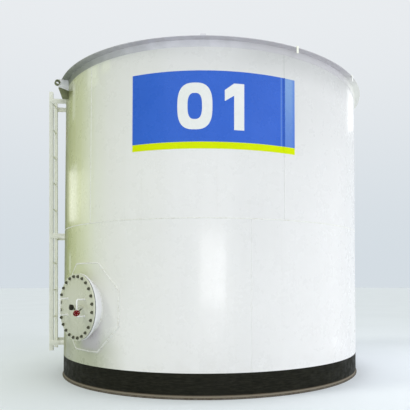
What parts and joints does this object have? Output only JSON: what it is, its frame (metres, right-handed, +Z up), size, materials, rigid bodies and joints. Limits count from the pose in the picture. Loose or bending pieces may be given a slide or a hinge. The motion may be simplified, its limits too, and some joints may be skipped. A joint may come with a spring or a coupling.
{
  "type": "vertical storage tank",
  "caption": "Upright welded steel storage tank with a bolted shell manhole, a side ladder and a shallow cone roof.",
  "frame": {"origin": "centre of the tank's underside, on the floor", "axes": "+Z up along the tank's axis; -Y is the pictured side, with the manhole and the ladder towards -X"},
  "size_m": [3.5277, 3.4122, 3.4878],
  "materials": {
    "white_paint": "gloss",
    "black_coating": "matte",
    "gasket_rubber": "matte",
    "cast_iron": "matte",
    "valve_brass": "satin",
    "red_paint": "satin",
    "cream_paint": "satin"
  },
  "bodies": {
    "tank": {"bottom_plate": "black_coating", "cover_handle_left": "white_paint", "cover_handle_right": "white_paint", "curb_angle_1": "white_paint", "curb_angle_2": "white_paint", "curb_angle_3": "white_paint", "ladder_rung_01": "cream_paint", "ladder_rung_02": "cream_paint", "ladder_rung_03": "cream_paint", "ladder_rung_04": "cream_paint", "ladder_rung_05": "cream_paint", "ladder_rung_06": "cream_paint", "ladder_rung_07": "cream_paint", "ladder_rung_08": "cream_paint", "ladder_rung_09": "cream_paint", "ladder_rung_10": "cream_paint", "ladder_stile_front": "cream_paint", "ladder_stile_rear": "cream_paint", "lifting_lug_1": "cream_paint", "lifting_lug_2": "cream_paint", "lower_shell_plate_1": "white_paint", "lower_shell_plate_2": "white_paint", "lower_shell_plate_3": "white_paint", "manhole_cover": "white_paint", "manhole_flange": "white_paint", "manhole_gasket": "gasket_rubber", "manhole_neck": "white_paint", "manhole_pad": "white_paint", "rim_cleat_1": "cream_paint", "rim_cleat_2": "cream_paint", "rim_cleat_3": "cream_paint", "roof_crown_plate": "white_paint", "roof_hatch_lid": "white_paint", "roof_hatch_neck": "white_paint", "roof_plate_1": "white_paint", "roof_plate_2": "white_paint", "roof_plate_3": "white_paint", "roof_plate_4": "white_paint", "roof_vent_pipe": "white_paint", "upper_shell_plate_1": "white_paint", "upper_shell_plate_2": "white_paint", "upper_shell_plate_3": "white_paint", "valve_body": "valve_brass", "valve_plug": "cast_iron"},
    "handwheel": {"valve_handwheel": "red_paint"}
  },
  "joints": [
    {"name": "handwheel_spin", "type": "hinge", "parent": "tank", "child": "handwheel", "pos_m": [-1.17319, -1.44148, 0.71132], "axis": [0.4778, -0.759, -0.4423], "continuous": true}
  ]
}
